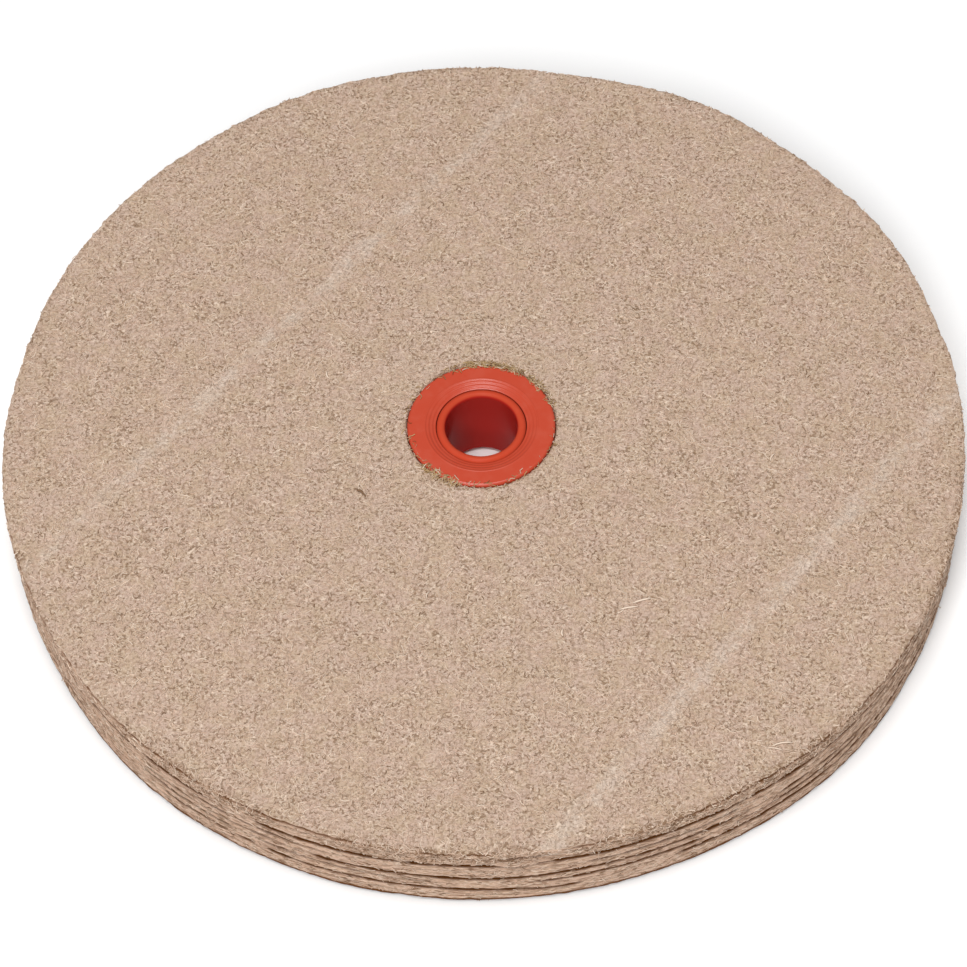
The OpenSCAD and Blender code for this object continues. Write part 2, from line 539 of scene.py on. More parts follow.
class Graph:
    """Short calls for making and linking nodes in one tree."""

    def __init__(self, tree):
        self.tree = tree

    def add(self, kind, settings=None, **inputs):
        node = self.tree.nodes.new(kind)
        for name, value in (settings or {}).items():
            setattr(node, name, value)
        for name, value in inputs.items():
            self.put(node, name.replace("_", " "), value)
        return node

    def put(self, node, socket, value):
        target = node.inputs[socket]
        if isinstance(value, bpy.types.NodeSocket):
            self.tree.links.new(value, target)
        elif isinstance(value, bpy.types.Node):
            self.tree.links.new(value.outputs[0], target)
        else:
            target.default_value = value

    def math(self, operation, *values):
        node = self.add("ShaderNodeMath", {"operation": operation})
        for index, value in enumerate(values):
            self.put(node, index, value)
        return node.outputs[0]

    def times(self, first, *others):
        for other in others:
            first = self.math("MULTIPLY", first, other)
        return first

    def vector(self, operation, a, b=None):
        node = self.add("ShaderNodeVectorMath", {"operation": operation})
        self.put(node, 0, a)
        if b is not None:
            self.put(node, "Scale" if operation == "SCALE" else 1, b)
        return node.outputs["Value" if operation in ("DOT_PRODUCT", "LENGTH") else "Vector"]

    def mix(self, factor, a, b, kind="RGBA"):
        """a where the factor is 0 and b where it is 1."""
        node = self.add("ShaderNodeMix", {"data_type": kind})
        first, output = {"RGBA": (6, 2), "VECTOR": (4, 1)}[kind]
        for index, value in ((0, factor), (first, a), (first + 1, b)):
            self.put(node, index, value)
        return node.outputs[output]

    def ramp(self, value, low, high, out_low=0.0, out_high=1.0):
        """A soft step between two values."""
        node = self.add("ShaderNodeMapRange", {"interpolation_type": "SMOOTHSTEP"})
        for index, number in enumerate((value, low, high, out_low, out_high)):
            self.put(node, index, number)
        return node.outputs[0]

    def noise(self, vector, scale, detail=2.0, roughness=0.5, output="Fac"):
        node = self.add("ShaderNodeTexNoise", Vector=vector, Scale=scale, Detail=detail,
                        Roughness=roughness)
        return node.outputs[output]

    def attribute(self, name):
        return self.add("ShaderNodeAttribute", {"attribute_name": name}).outputs["Fac"]

    def group(self, tree, **inputs):
        return self.add("ShaderNodeGroup", {"node_tree": tree}, **inputs).outputs


VECTOR, NUMBER, COLOUR = "NodeSocketVector", "NodeSocketFloat", "NodeSocketColor"


def shader_group(name, inputs, outputs):
    """An empty shader group with the named sockets, and its graph, input and output nodes."""
    tree = bpy.data.node_groups.new(name, "ShaderNodeTree")
    for label, kind, value in inputs:
        socket = tree.interface.new_socket(label, in_out="INPUT", socket_type=kind)
        if value is not None:
            socket.default_value = value
    for label, kind in outputs:
        tree.interface.new_socket(label, in_out="OUTPUT", socket_type=kind)
    graph = Graph(tree)
    return graph, graph.add("NodeGroupInput").outputs, graph.add("NodeGroupOutput")


def felt_curls_group():
    """Winding strands, as the level lines of a warped noise. Curls is 1 on a strand."""
    g, given, made = shader_group(
        "felt_curls",
        [("Place", VECTOR, None), ("Strand Size", NUMBER, 1.0), ("Winding", NUMBER, 0.9),
         ("Strands", NUMBER, 5.0), ("Seed", NUMBER, 0.0)],
        [("Curls", NUMBER)])
    scaled = g.vector("SCALE", given["Place"], g.math("DIVIDE", 1.0, given["Strand Size"]))
    moved = g.vector("ADD", scaled, given["Seed"])
    warp = g.vector("SUBTRACT", g.noise(moved, 0.9, 1.0, output="Color"), (0.5, 0.5, 0.5))
    place = g.vector("ADD", moved, g.vector("SCALE", warp, given["Winding"]))
    saw = g.math("FRACT", g.times(g.noise(place, 0.55, 0.6), given["Strands"]))
    line = g.times(g.math("ABSOLUTE", g.math("SUBTRACT", saw, 0.5)), 2.0)
    breaks = g.ramp(g.noise(moved, 1.3, 1.0), 0.38, 0.6)
    g.put(made, "Curls", g.times(g.ramp(line, 0.35, 0.95), breaks))
    return g.tree


def felt_mottle_group():
    """Soft patches of two wool colours with dark pits and specks."""
    g, given, made = shader_group(
        "felt_mottle",
        [("Place", VECTOR, None), ("Pink", COLOUR, None), ("Tan", COLOUR, None),
         ("Dark", COLOUR, None), ("Patch Size", NUMBER, 7.0), ("Pits", NUMBER, 0.5)],
        [("Colour", COLOUR), ("Pit", NUMBER)])
    patch = g.noise(given["Place"], g.math("DIVIDE", 1.0, given["Patch Size"]), 3.0, 0.6)
    fine = g.noise(given["Place"], 0.85, 3.0, 0.65)
    blend = g.math("ADD", g.times(patch, 0.6), g.times(fine, 0.4))
    wool = g.mix(g.ramp(blend, 0.40, 0.60), given["Pink"], given["Tan"])
    speck = g.noise(given["Place"], 3.0, 2.0, 0.7)
    pit = g.times(g.ramp(speck, 0.56, 0.70), given["Pits"])
    g.put(made, "Colour", g.mix(pit, wool, given["Dark"]))
    g.put(made, "Pit", pit)
    return g.tree


def moulded_skin_group():
    """Faint handling marks on moulded plastic: a rub mask and a low height."""
    g, given, made = shader_group(
        "moulded_skin",
        [("Place", VECTOR, None), ("Grain", NUMBER, 2.0), ("Rubbing", NUMBER, 0.5)],
        [("Rub", NUMBER), ("Height", NUMBER)])
    broad = g.noise(given["Place"], 0.35, 3.0, 0.6)
    grain = g.noise(given["Place"], given["Grain"], 3.0, 0.6)
    g.put(made, "Rub", g.times(g.ramp(broad, 0.42, 0.68), given["Rubbing"]))
    g.put(made, "Height", g.math("ADD", g.times(grain, 0.35), g.times(broad, 0.65)))
    return g.tree


def opaque(colour):
    """The colour with full alpha."""
    return (*colour, 1.0)


def new_material(name):
    """A material with a Principled shader, its graph, and the place in millimetres."""
    material = bpy.data.materials.new(name)
    material.use_nodes = True
    graph = Graph(material.node_tree)
    shader = material.node_tree.nodes["Principled BSDF"]
    place = graph.add("ShaderNodeTexCoord").outputs["Object"]
    return material, graph, shader, graph.vector("SCALE", place, 1 / MM)


# The two pale streaks run parallel across the upper face, each at its own distance from the
# axis, as (distance, half width, strength)
STREAK_DIRECTION = math.radians(49)
STREAKS = [(39.6, 1.3, 0.75), (-57.8, 1.5, 0.85)]


def streak_mask(g, place):
    """How strongly the pale streaks show at a place."""
    normal = (-math.sin(STREAK_DIRECTION), math.cos(STREAK_DIRECTION), 0.0)
    along = (math.cos(STREAK_DIRECTION), math.sin(STREAK_DIRECTION), 0.0)
    across = g.vector("DOT_PRODUCT", place, normal)
    drift = g.times(g.math("SUBTRACT", g.noise(place, 0.12, 2.0), 0.5), 3.0)
    across = g.math("ADD", across, drift)
    patches = g.ramp(g.noise(place, 0.3, 4.0, 0.8), 0.40, 0.60, 0.1, 1.0)
    total = 0.0
    for offset, half_width, strength in STREAKS:
        distance = g.math("ABSOLUTE", g.math("SUBTRACT", across, offset))
        band = g.ramp(distance, half_width * 1.7, half_width * 0.2, 0.0, strength)
        total = g.math("MAXIMUM", total, band)
    faded = g.ramp(g.math("ABSOLUTE", g.vector("DOT_PRODUCT", place, along)), 90.0, 20.0, 0.7, 1.0)
    on_top = g.ramp(g.vector("DOT_PRODUCT", place, (0.0, 0.0, 1.0)), 12.0, 14.0)
    return g.times(total, patches, faded, on_top)


def felt_material(groups, settings):
    """Pressed wool: mottled colour, winding strands at two sizes, streaks, and painted brown shade
    in the seams and creases.
    """
    material, g, shader, place = new_material("pressed_felt")
    normal = g.add("ShaderNodeNewGeometry").outputs["Normal"]
    upright = g.math("ABSOLUTE", g.vector("DOT_PRODUCT", normal, (0.0, 0.0, 1.0)))
    on_face = g.ramp(upright, 0.55, 0.85)
    on_rim = g.math("SUBTRACT", 1.0, on_face)
    pink, tan, dark, brown = (opaque(colour) for colour in (
        settings.felt_pink, settings.felt_tan, settings.felt_dark, settings.seam_shade_brown))

    # Wool, with its strands drawn out along the plies on the rim
    laid = g.mix(on_face, g.vector("MULTIPLY", place, (0.42, 0.42, 1.5)), place, "VECTOR")
    wool = g.group(groups["mottle"], Place=laid, Pink=pink, Tan=tan, Dark=dark, Patch_Size=5.0,
                   Pits=0.5)
    coarse, fine = (
        g.group(groups["curls"], Place=laid, Strand_Size=size, Winding=winding, Strands=count,
                Seed=seed)["Curls"]
        for size, winding, count, seed in ((0.85, 1.5, 7.0, 3.0), (0.45, 1.3, 6.0, 11.0)))
    rough_patch = g.ramp(g.noise(place, 0.3, 2.0), 0.36, 0.6, 0.5, 1.0)
    strands = g.times(g.math("MAXIMUM", coarse, g.times(fine, 0.9)), rough_patch)
    depth = g.ramp(on_face, 0.0, 1.0, 0.85, 0.72)
    base = g.mix(g.times(on_rim, 0.7), wool["Colour"], opaque(settings.felt_rim))
    colour = g.mix(g.times(strands, depth), base, opaque(settings.felt_pale))
    hollow = g.times(g.ramp(g.noise(laid, 1.85, 1.0, 0.6), 0.49, 0.38), rough_patch)
    colour = g.mix(g.times(hollow, depth), colour, dark)

    # Fine brown lines along the cut rim
    lie = g.noise(g.vector("MULTIPLY", place, (0.13, 0.13, 1.5)), 1.0, 2.0, 0.5)
    level = g.math("ABSOLUTE", g.math("SUBTRACT", lie, 0.5))
    line = g.times(g.ramp(level, 0.05, 0.005), g.ramp(g.noise(place, 0.25, 2.0), 0.40, 0.55))
    colour = g.mix(g.times(line, on_rim, 0.6), colour, brown)

    # Dark specks on the frayed edge, the streaks, and the painted shade of the seams
    flat = g.vector("MULTIPLY", place, (1.0, 1.0, 1.6))
    edge_specks = g.ramp(g.noise(flat, 1.4, 3.0, 0.75), 0.47, 0.53)
    colour = g.mix(g.times(edge_specks, g.attribute("ragged"), 0.85), colour, dark)
    colour = g.mix(g.times(streak_mask(g, place), on_face, 0.6), colour, opaque(settings.chalk))
    # Painted shade in the seams, the creases, the hub's pocket and along the lowest ply's foot
    colour = g.mix(g.attribute("crease"), colour, brown)

    relief = g.math("ADD", g.times(strands, 0.5), g.times(g.noise(laid, 2.3, 3.0, 0.7), 0.9))
    relief = g.math("SUBTRACT", relief, g.times(wool["Pit"], 0.8))
    bump = g.add("ShaderNodeBump", Strength=0.8, Distance=0.18 * MM, Height=relief)
    g.put(shader, "Base Color", colour)
    g.put(shader, "Roughness", 0.95)
    g.put(shader, "Specular IOR Level", 0.0)
    g.put(shader, "Normal", bump)
    return material


def fibre_material(name, settings, dark, middle, pale):
    """Loose fibres, each with its own tone between a dark, a middle and a pale colour."""
    material, g, shader, place = new_material(name)
    tone = g.attribute("tone")
    colour = g.mix(g.ramp(tone, 0.0, 0.3), opaque(dark), opaque(middle))
    colour = g.mix(g.ramp(tone, 0.5, 1.0), colour, opaque(pale))
    colour = g.mix(g.times(streak_mask(g, place), 0.55), colour, opaque(settings.chalk))
    g.put(shader, "Base Color", colour)
    g.put(shader, "Roughness", 0.9)
    g.put(shader, "Specular IOR Level", 0.05)
    return material


def hub_material(name, groups, settings, grain, rubbing, gloss):
    """Moulded plastic with a soft gloss, faint handling marks, fine turned rings in its dish and
    painted shade on the bore's wall.
    """
    material, g, shader, place = new_material(name)
    skin = g.group(groups["skin"], Place=place, Grain=grain, Rubbing=rubbing)
    colour = g.mix(skin["Rub"], opaque(settings.plastic), opaque(settings.plastic_shade))
    radius = g.vector("LENGTH", g.vector("MULTIPLY", place, (1.0, 1.0, 0.0)))
    # Painted shade: the wall of the bore darkens towards the bore colour
    inside = g.ramp(radius, BORE_R_MM + 0.25, BORE_R_MM + 0.05)
    in_dish = g.times(g.ramp(radius, 7.7, 7.9), g.ramp(radius, 9.7, 9.4))
    ripple = g.times(g.math("SINE", g.times(radius, 2 * math.pi / RING_SPACING_MM)), in_dish)
    bump = g.add("ShaderNodeBump", Strength=0.25, Distance=0.05 * MM, Height=skin["Height"])
    rings = g.add("ShaderNodeBump", Strength=1.0, Distance=0.03 * MM, Height=ripple, Normal=bump)
    g.put(shader, "Base Color", g.mix(inside, colour, opaque(settings.bore_painted_shade)))
    g.put(shader, "Roughness", g.math("ADD", settings.roughness - 0.05, g.times(skin["Rub"], 0.2)))
    g.put(shader, "Specular IOR Level", gloss)
    g.put(shader, "Normal", rings)
    return material


# ---------------------------------------------------------------- fibres by Geometry Nodes


# The shapes of fibre, as (bow, hook), both as shares of half the length
FIBRE_BENDS = ((0.15, 0.1), (0.45, -0.2), (-0.35, 0.3), (0.8, 0.25))
LONGEST_FIBRE = 1.3


def fibre_tree(name):
    """Scatters short bent fibres over a surface, as dense as one of its attributes says."""
    tree = bpy.data.node_groups.new(name, "GeometryNodeTree")
    sockets = {}
    for label, kind, value in (
        ("Surface", "NodeSocketGeometry", None), ("Where", "NodeSocketString", "nap_face"),
        ("Density", NUMBER, 1e5), ("Length", NUMBER, 2 * MM), ("Width", NUMBER, 0.1 * MM),
        ("Lift", NUMBER, 0.05 * MM), ("Tilt", NUMBER, 0.2), ("Shortest", NUMBER, 0.5),
        ("Darkest", NUMBER, 0.0), ("Palest", NUMBER, 1.0), ("Turn", NUMBER, math.pi),
        ("Seed", "NodeSocketInt", 1), ("Material", "NodeSocketMaterial", None),
    ):
        sockets[label] = tree.interface.new_socket(label, in_out="INPUT", socket_type=kind)
        if value is not None:
            sockets[label].default_value = value
    tree.interface.new_socket("Fibres", in_out="OUTPUT", socket_type="NodeSocketGeometry")
    g = Graph(tree)
    given, made = g.add("NodeGroupInput").outputs, g.add("NodeGroupOutput")
    where = g.add("GeometryNodeInputNamedAttribute", {"data_type": "FLOAT"}, Name=given["Where"])
    density = g.times(given["Density"], where.outputs["Attribute"])
    scatter = g.add("GeometryNodeDistributePointsOnFaces", Mesh=given["Surface"], Density=density,
                    Seed=given["Seed"])
    height = g.vector("SCALE", scatter.outputs["Normal"], given["Lift"])
    points = g.add("GeometryNodeSetPosition", Geometry=scatter.outputs["Points"], Offset=height)

    shapes = g.add("GeometryNodeGeometryToInstance")
    section = g.add("GeometryNodeCurvePrimitiveCircle", Resolution=3)
    g.put(section, "Radius", g.times(given["Width"], 0.5))
    for bow, hook in FIBRE_BENDS:
        bend = g.add("GeometryNodeCurvePrimitiveBezierSegment", Resolution=2)
        half = g.times(given["Length"], 0.5)
        for socket, x, y in (("Start", -1.0, 0.0), ("Start Handle", -0.5, bow),
                             ("End Handle", 0.4, bow - hook), ("End", 1.0, -hook)):
            g.put(bend, socket, g.vector("SCALE", (x, y, 0.0), half))
        fibre = g.add("GeometryNodeCurveToMesh", Curve=bend, Profile_Curve=section, Fill_Caps=True)
        tree.links.new(fibre.outputs[0], shapes.inputs[0])

    def spread(low, high, seed, whole=False):
        node = g.add("FunctionNodeRandomValue", {"data_type": "INT" if whole else "FLOAT"})
        for socket in node.inputs:
            if socket.enabled and socket.name in ("Min", "Max"):
                g.put(node, list(node.inputs).index(socket), low if socket.name == "Min" else high)
        g.put(node, "Seed", seed)
        return next(o for o in node.outputs if o.enabled)

    turn = g.add("ShaderNodeCombineXYZ")
    lean = g.times(given["Tilt"], -1.0)
    g.put(turn, "X", spread(lean, given["Tilt"], 1))
    g.put(turn, "Y", spread(lean, given["Tilt"], 2))
    rotation = g.add("FunctionNodeEulerToRotation", Euler=turn)
    away = g.times(given["Turn"], -1.0)
    swing = g.add("FunctionNodeAxisAngleToRotation", Axis=(0.0, 0.0, 1.0),
                  Angle=spread(away, given["Turn"], 3))
    ahead = g.vector("CROSS_PRODUCT", (0.0, 0.0, 1.0), g.add("GeometryNodeInputPosition"))
    along = g.add("FunctionNodeAlignRotationToVector", {"axis": "X", "pivot_axis": "Z"},
                  Rotation=scatter.outputs["Rotation"], Vector=ahead)
    swung = g.add("FunctionNodeRotateRotation", {"rotation_space": "LOCAL"},
                  Rotation=along, Rotate_By=swing)
    facing = g.add("FunctionNodeRotateRotation", {"rotation_space": "LOCAL"},
                   Rotation=swung, Rotate_By=rotation)
    placed = g.add("GeometryNodeInstanceOnPoints", Points=points, Instance=shapes,
                   Pick_Instance=True, Rotation=facing,
                   Instance_Index=spread(0, len(FIBRE_BENDS) - 1, 4, whole=True),
                   Scale=spread(given["Shortest"], LONGEST_FIBRE, 5))
    toned = g.add("GeometryNodeStoreNamedAttribute", {"data_type": "FLOAT", "domain": "INSTANCE"},
                  Geometry=placed, Name="tone", Value=spread(given["Darkest"], given["Palest"], 6))
    real = g.add("GeometryNodeRealizeInstances", Geometry=toned)
    finished = g.add("GeometryNodeSetMaterial", Geometry=real, Material=given["Material"])
    g.put(made, 0, finished)
    return tree, {label: socket.identifier for label, socket in sockets.items()}


def scatter_fibres(name, surface, tree, identifiers, material, **values):
    """A plain mesh piece with the fibres that the tree scatters over a surface mesh."""
    source = bpy.data.objects.new(name + "_source", surface)
    bpy.context.scene.collection.objects.link(source)
    modifier = source.modifiers.new("fibres", "NODES")
    modifier.node_group = tree
    for label, value in values.items():
        modifier[identifiers[label]] = value
    modifier[identifiers["Material"]] = material
    graph = bpy.context.evaluated_depsgraph_get()
    made = bpy.data.meshes.new_from_object(source.evaluated_get(graph))
    source.modifiers.remove(modifier)
    bpy.data.objects.remove(source)
    made.name = name
    piece = add_object(made, slot=FELT_SLOT)
    if not len(made.polygons):
        raise RuntimeError(f"{name} has no fibres")
    return piece


def joined(name, meshes, attributes):
    """One mesh of several, for scattering over, with its points and their attributes."""
    points, quads, offset = [], [], 0
    values = {attribute: [] for attribute in attributes}
    for mesh in meshes:
        count = len(mesh.vertices)
        points.append(read_out(mesh.vertices, "co", count * 3).reshape(-1, 3))
        for attribute, columns in values.items():
            columns.append(read_out(mesh.attributes[attribute].data, "value", count))
        corners = read_out(mesh.loops, "vertex_index", len(mesh.loops), np.int64)
        quads.append(corners.reshape(-1, 4) + offset)
        offset += count
    points = np.concatenate(points)
    mesh = mesh_from(name, points, np.concatenate(quads))
    return mesh, points, {name: np.concatenate(columns) for name, columns in values.items()}


def read_out(collection, field, size, kind=float):
    """One field of every item in a mesh's collection."""
    values = np.zeros(size, kind)
    collection.foreach_get(field, values)
    return values


# ---------------------------------------------------------------- operators

# Finishes and pieces that one operator makes and a later one needs
MADE = {}
# The fibres of each part of the upper nap, as (length in mm, darkest tone, palest tone)
TOP_NAP = ((0.75, 0.1, 1.0), (0.9, 0.15, 1.0), (0.6, 0.0, 0.8), (1.2, 0.25, 1.0))
# The fibres on the rim, as (name, where, fibres on a square metre, length in mm, tilt,
# darkest tone, largest turn away from the rim's direction)
RIM_FIBRES = (
    ("rim_nap", "everywhere", 9e5, 0.8, 0.15, 0.0, 0.6),
    ("rim_tufts", "tufts", 1e6, 1.1, 0.35, 0.2, 1.2),
    ("top_edge_fringe", "top_edge", 4.5e6, 0.7, 0.35, 0.0, math.pi),
)
RIM_FIBRE_SEED = 5
FRINGE_BAND, FRINGE_BAND_FADE, FRINGE_REACH = 3.8 * MM, 2.0 * MM, 1.8 * MM
FRINGE_DARK, FRINGE_GOLD = (0.17, 0.075, 0.025), (0.50, 0.34, 0.17)
# The rings that the hub's fringe grows on: the first one's place, and the step to the next
COLLAR_OUT, COLLAR_IN, COLLAR_LIFT, COLLAR_RISE = 0.85 * MM, 0.42 * MM, 0.15 * MM, 0.1 * MM


class WHEEL_OT_materials(bpy.types.Operator):
    """Builds the shared pattern groups and the finishes"""

    bl_idname = "felt_wheel.materials"
    bl_label = "Finishes"

    def execute(self, context):
        s, hub = context.scene.felt_wheel, context.scene.felt_wheel_hub
        groups = {"curls": felt_curls_group(), "mottle": felt_mottle_group(),
                  "skin": moulded_skin_group()}
        middle = tuple(1.12 * (a + b) / 2 for a, b in zip(s.felt_pink, s.felt_tan))
        MADE["felt"] = felt_material(groups, s)
        MADE["nap"] = fibre_material("nap_fibre", s, s.felt_dark, middle, s.felt_pale)
        MADE["fringe"] = fibre_material("hub_fringe_fibre", s, FRINGE_DARK, FRINGE_GOLD,
                                        s.felt_pale)
        MADE["hub_ring"] = hub_material("hub_ring_plastic", groups, hub, 2.0, 0.35, 0.42)
        MADE["hub_sleeve"] = hub_material("hub_sleeve_plastic", groups, hub, 3.0, 0.2, 0.05)
        return {"FINISHED"}


class WHEEL_OT_plies(bpy.types.Operator):
    """Builds each felt ply with its rounded, wandering rim and soft faces"""

    bl_idname = "felt_wheel.plies"
    bl_label = "Felt plies"

    def execute(self, context):
        MADE["plies"] = []
        for number, node in enumerate(PLY_NODES, 1):
            mesh = ply_mesh(number, context.scene.felt_wheel)
            piece = add_object(mesh, MADE["felt"], FELT_SLOT)
            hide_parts(node)
            MADE["plies"].append(piece)
        return {"FINISHED"}


class WHEEL_OT_nap(bpy.types.Operator):
    """Scatters loose fibres over the two faces, the rim and the seams"""

    bl_idname = "felt_wheel.nap"
    bl_label = "Loose fibres"

    def execute(self, context):
        s = context.scene.felt_wheel
        tree, names = fibre_tree("felt_fibres")
        common = {"Width": s.fibre_width, "Tilt": 0.12, "Lift": 0.05 * MM, "Where": "nap_face",
                  "Shortest": 0.5}
        MADE["top_fibres"] = [
            scatter_fibres(f"top_nap_{part}", MADE["plies"][-1].data, tree, names, MADE["nap"],
                           Density=s.nap_density, Length=length * MM, Seed=part,
                           Darkest=darkest, Palest=palest, **common)
            for part, (length, darkest, palest) in enumerate(TOP_NAP, 1)]
        MADE["bottom_fibres"] = [
            scatter_fibres("bottom_nap", MADE["plies"][0].data, tree, names, MADE["nap"],
                           Density=s.nap_density * 0.7, Length=1.2 * MM, Seed=14,
                           Darkest=0.1, Palest=1.0, **common)]
        rims = self.rims()
        MADE["rim_fibres"] = [
            scatter_fibres(name, rims, tree, names, MADE["nap"], Where=where, Density=density,
                           Length=length * MM, Tilt=tilt, Darkest=darkest, Palest=1.0, Turn=turn,
                           Width=s.fibre_width, Lift=0.03 * MM, Shortest=0.5, Seed=seed)
            for seed, (name, where, density, length, tilt, darkest, turn)
            in enumerate(RIM_FIBRES, RIM_FIBRE_SEED)]
        bpy.data.meshes.remove(rims)
        return {"FINISHED"}

    def rims(self):
        """All the plies in one mesh, with how thick the three kinds of rim fibre grow."""
        meshes = [piece.data for piece in MADE["plies"]]
        rims, points, values = joined("rim_surface", meshes, ("nap_rim", "crease"))
        on_rim, crease = values["nap_rim"], values["crease"]
        theta, radius = np.arctan2(points[:, 1], points[:, 0]), np.hypot(points[:, 0], points[:, 1])
        # No rim fibres where the painted shade of seams and creases is strong
        clear = np.clip(1 - 1.8 * crease, 0, 1)
        clumps = smooth(3.0 * around(theta, 46, 78) - 0.9)
        edge = np.clip((points[:, 2] - (FELT_TOP - FRINGE_BAND)) / FRINGE_BAND_FADE, 0, 1) * on_rim
        edge *= (radius > WHEEL_R - FRINGE_REACH) * np.clip(1 - 1.3 * crease, 0, 1)
        set_attribute(rims, "everywhere", on_rim * clear)
        set_attribute(rims, "top_edge", edge * fray(theta))
        set_attribute(rims, "tufts", on_rim * clumps * clear)
        return rims


def strand_points(x, y, length, direction, bow, lift):
    """Five points of a bent strand lying on the top face. Lengths in mm, direction in degrees."""
    t = np.linspace(-0.5, 0.5, 5)
    turn = math.radians(direction)
    side = bow * (1 - 4 * t * t)
    px = x + length * t * math.cos(turn) - side * math.sin(turn)
    py = y + length * t * math.sin(turn) + side * math.cos(turn)
    return np.stack([px * MM, py * MM, FELT_TOP + (lift + 0.04 * (1 - 4 * t * t)) * MM], -1)


def strands_mesh(name, strands):
    """Closed square strands of given (points, thickness in mm, tone)."""
    points, quads, tones = [], [], []
    for path, thickness, tone in strands:
        base = len(points) * 4
        ahead = np.gradient(path, axis=0)
        side = np.stack([-ahead[:, 1], ahead[:, 0], 0 * ahead[:, 0]], -1)
        side /= np.linalg.norm(side, axis=1)[:, None]
        for n, (centre, across) in enumerate(zip(path, side)):
            half = thickness * MM / 2 * (0.5 if n in (0, len(path) - 1) else 1.0)
            up, out = np.array([0, 0, half]), across * half
            points.append([centre + out, centre + up, centre - out, centre - up])
            tones.append([tone] * 4)
        for n in range(len(path) - 1):
            low, high = base + 4 * n, base + 4 * n + 4
            quads += [[low + k, low + (k + 1) % 4, high + (k + 1) % 4, high + k] for k in range(4)]
        last = base + 4 * (len(path) - 1)
        quads += [[base + 3, base + 2, base + 1, base], [last, last + 1, last + 2, last + 3]]
    mesh = mesh_from(name, np.array(points).reshape(-1, 3), np.array(quads))
    set_attribute(mesh, "tone", np.array(tones).ravel())
    return mesh


# Strays on the face, as (x, y, length, direction in degrees, bow, thickness, tone), in mm
STRAYS = [
    (24.6, -35.6, 3.0, 14, 0.1, 0.36, 1.0), (22.4, -36.9, 3.0, 8, 0.1, 0.34, 1.0),
    (21.0, -37.4, 1.6, 30, -0.2, 0.2, 0.95), (-25.5, 11.6, 1.5, 100, 0.2, 0.3, 1.0),
    (47.8, -8.8, 1.6, 60, 0.3, 0.26, 1.0), (11.7, -41.0, 1.3, 85, 0.2, 0.34, 1.0),
    (44.7, -62.8, 3.4, 8, 0.3, 0.3, 0.95), (43.4, -63.6, 2.6, -12, 0.2, 0.24, 0.9),
    (45.5, -63.9, 2.2, 12, -0.2, 0.22, 0.3), (-9.5, -33.0, 1.4, 70, 0.3, 0.2, 0.95),
    (-33.0, -28.0, 1.5, 120, 0.3, 0.2, 0.95), (-52.0, -18.5, 1.3, 40, 0.3, 0.2, 0.95),
    (33.5, 30.5, 1.4, 130, 0.3, 0.2, 0.95), (-20.3, -12.6, 1.3, -35, 0.25, 0.34, 0.0),
    (-19.7, -13.2, 0.9, -50, 0.15, 0.3, 0.0), (-20.9, -12.0, 0.7, -20, 0.1, 0.24, 0.05),
]


class WHEEL_OT_strays(bpy.types.Operator):
    """Lays the few long strays and the dark fleck on the face"""

    bl_idname = "felt_wheel.strays"
    bl_label = "Strays"

    def execute(self, context):
        strands = [(strand_points(x, y, length, direction, bow, 0.18), thick, tone)
                   for x, y, length, direction, bow, thick, tone in STRAYS]
        mesh = strands_mesh("strays", strands)
        MADE["top_fibres"].append(add_object(mesh, MADE["nap"], FELT_SLOT))
        return {"FINISHED"}


class WHEEL_OT_hub(bpy.types.Operator):
    """Gives the two hub halves their plastic and the felt fringe that laps the flange"""

    bl_idname = "felt_wheel.hub"
    bl_label = "Hub"

    def execute(self, context):
        for node in ("hub_ring", "hub_sleeve"):
            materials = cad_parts[node].data.materials
            materials.clear()
            materials.append(MADE[node])
        tree, names = fibre_tree("hub_fringe")
        collar = self.collar()
        MADE["hub_fibres"] = [scatter_fibres(
            "hub_fringe", collar, tree, names, MADE["fringe"], Where="fringe", Density=30e6,
            Length=0.9 * MM, Width=0.13 * MM, Shortest=0.4, Seed=8, Tilt=0.35, Lift=0.03 * MM,
            Darkest=0.0, Palest=0.9)]
        bpy.data.meshes.remove(collar)
        return {"FINISHED"}

    def collar(self):
        """A narrow cone over the flange's edge, with how thick the fringe grows on it."""
        rows, columns = 5, 360
        theta = np.arange(columns) * 2 * math.pi / columns
        heavy = np.maximum(stretch(theta, 60, 112, 20), 0.35 * stretch(theta, 18, 60, 10))
        heavy = np.maximum(heavy, 0.8 * stretch(theta, -142, -110, 14))
        heavy = heavy * np.clip(0.7 + 0.6 * around(theta, 40, 35), 0.2, 1.0)
        points = [ring_points(FLANGE_R + COLLAR_OUT - i * COLLAR_IN,
                              FELT_TOP + COLLAR_LIFT + i * COLLAR_RISE, theta)
                  for i in range(rows)]
        mesh = mesh_from("fringe_surface", np.concatenate(points), ring_quads(rows, columns))
        grown = np.tile(0.05 + 0.95 * heavy, rows)
        grown[-columns:] = 0.0
        set_attribute(mesh, "fringe", grown)
        return mesh


class WHEEL_OT_declare(bpy.types.Operator):
    """Takes no step of its own and finishes at once"""

    bl_idname = "felt_wheel.declare"
    bl_label = "Declare the sheets"

    def execute(self, context):
        return {"FINISHED"}


FLOOR_WHITE = (0.95, 0.95, 0.95)
# The two soft lamps, as (name, place, side in metres)
LAMPS = (("lamp_above", (-0.04, -0.10, 1.3), 0.5), ("lamp_front", (-0.25, -0.95, 1.1), 0.6))


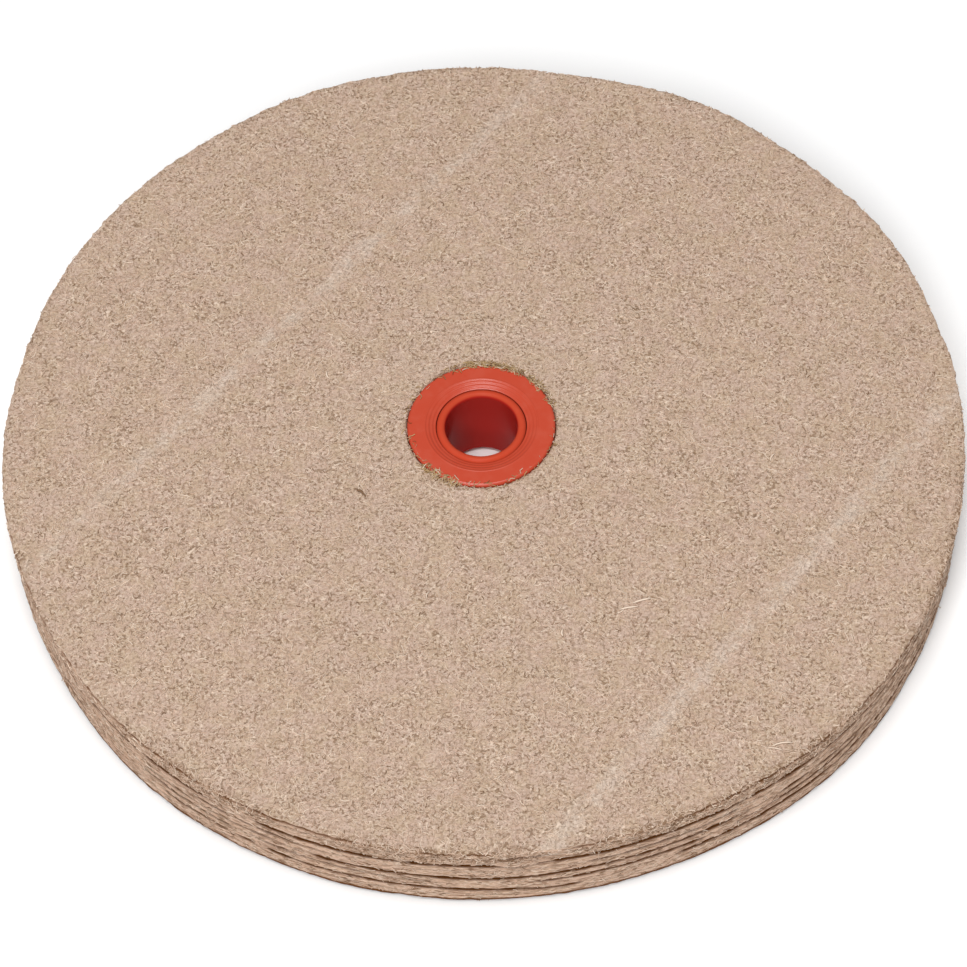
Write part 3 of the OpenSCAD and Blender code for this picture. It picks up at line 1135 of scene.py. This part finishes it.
class WHEEL_OT_stage(bpy.types.Operator):
    """Adds the floor, the soft light and the camera"""

    bl_idname = "felt_wheel.stage"
    bl_label = "Stage"

    def execute(self, context):
        s = context.scene.felt_wheel_stage
        self.floor(s.floor_size)
        self.light(context.scene, s)
        self.camera(context.scene, s)
        context.scene.view_settings.view_transform = "Standard"
        return {"FINISHED"}

    def floor(self, size):
        half = size / 2
        points = np.array([(-half, -half, 0), (half, -half, 0), (half, half, 0), (-half, half, 0)])
        mesh = mesh_from("floor", points, np.array([[0, 1, 2, 3]]))
        material = bpy.data.materials.new("floor_white")
        material.use_nodes = True
        shader = material.node_tree.nodes["Principled BSDF"]
        shader.inputs["Base Color"].default_value = opaque(FLOOR_WHITE)
        shader.inputs["Roughness"].default_value = 0.9
        shader.inputs["Specular IOR Level"].default_value = 0.0
        add_object(mesh, material)

    def light(self, scene, s):
        world = bpy.data.worlds.new("soft_sky")
        world.use_nodes = True
        background = world.node_tree.nodes["Background"].inputs
        background["Color"].default_value = (1.0, 1.0, 1.0, 1.0)
        background["Strength"].default_value = s.sky
        scene.world = world
        for (name, place, size), power in zip(LAMPS, (s.lamp, s.front_lamp)):
            data = bpy.data.lights.new(name, "AREA")
            data.shape = "SQUARE"
            data.size = size
            data.energy = power
            lamp = bpy.data.objects.new(name, data)
            lamp.location = place
            lamp.rotation_euler = (-Vector(place)).to_track_quat("-Z", "Y").to_euler()
            scene.collection.objects.link(lamp)

    def camera(self, scene, s):
        data = bpy.data.cameras.new("camera")
        data.sensor_width = 36.0
        data.lens = s.lens
        data.clip_start, data.clip_end = 0.01, 20.0
        camera = bpy.data.objects.new("camera", data)
        target = Vector((0.0, 0.0, FELT_TOP))
        back = Vector((0.0, -math.cos(s.camera_elevation), math.sin(s.camera_elevation)))
        right = Vector((1.0, 0.0, 0.0))
        up = right.cross(-back)
        tilt, roll = s.camera_pitch, s.camera_roll
        ahead = -back * math.cos(tilt) + up * math.sin(tilt)
        up = up * math.cos(tilt) + back * math.sin(tilt)
        turned = right * math.cos(roll) + up * math.sin(roll)
        up = up * math.cos(roll) - right * math.sin(roll)
        rotation = Matrix((turned, up, -ahead)).transposed().to_4x4()
        camera.matrix_world = Matrix.Translation(target + back * s.camera_distance) @ rotation
        scene.collection.objects.link(camera)
        scene.camera = camera


OPERATORS = (
    WHEEL_OT_materials, WHEEL_OT_plies, WHEEL_OT_nap, WHEEL_OT_strays, WHEEL_OT_hub,
    WHEEL_OT_declare, WHEEL_OT_stage,
)


class WHEEL_PT_panel(bpy.types.Panel):
    """Lists the wheel's building steps and sizes"""

    bl_idname = "WHEEL_PT_panel"
    bl_label = "Felt wheel"
    bl_space_type = "VIEW_3D"
    bl_region_type = "UI"
    bl_category = "Felt wheel"

    def draw(self, context):
        for operator in OPERATORS:
            self.layout.operator(operator.bl_idname)
        scene = context.scene
        for settings in (scene.felt_wheel, scene.felt_wheel_hub, scene.felt_wheel_stage):
            for name in settings.__annotations__:
                self.layout.prop(settings, name)


CLASSES = (FeltWheelSettings, HubSettings, StageSettings, *OPERATORS, WHEEL_PT_panel)


def register():
    for item in CLASSES:
        bpy.utils.register_class(item)
    bpy.types.Scene.felt_wheel = bpy.props.PointerProperty(type=FeltWheelSettings)
    bpy.types.Scene.felt_wheel_hub = bpy.props.PointerProperty(type=HubSettings)
    bpy.types.Scene.felt_wheel_stage = bpy.props.PointerProperty(type=StageSettings)


def unregister():
    del bpy.types.Scene.felt_wheel
    del bpy.types.Scene.felt_wheel_hub
    del bpy.types.Scene.felt_wheel_stage
    for item in reversed(CLASSES):
        bpy.utils.unregister_class(item)


def main():
    register()
    bpy.ops.felt_wheel.materials()
    bpy.ops.felt_wheel.plies()
    bpy.ops.felt_wheel.nap()
    bpy.ops.felt_wheel.strays()
    bpy.ops.felt_wheel.hub()
    bpy.ops.felt_wheel.declare()
    bpy.ops.felt_wheel.stage()


if __name__ == "__main__":
    main()
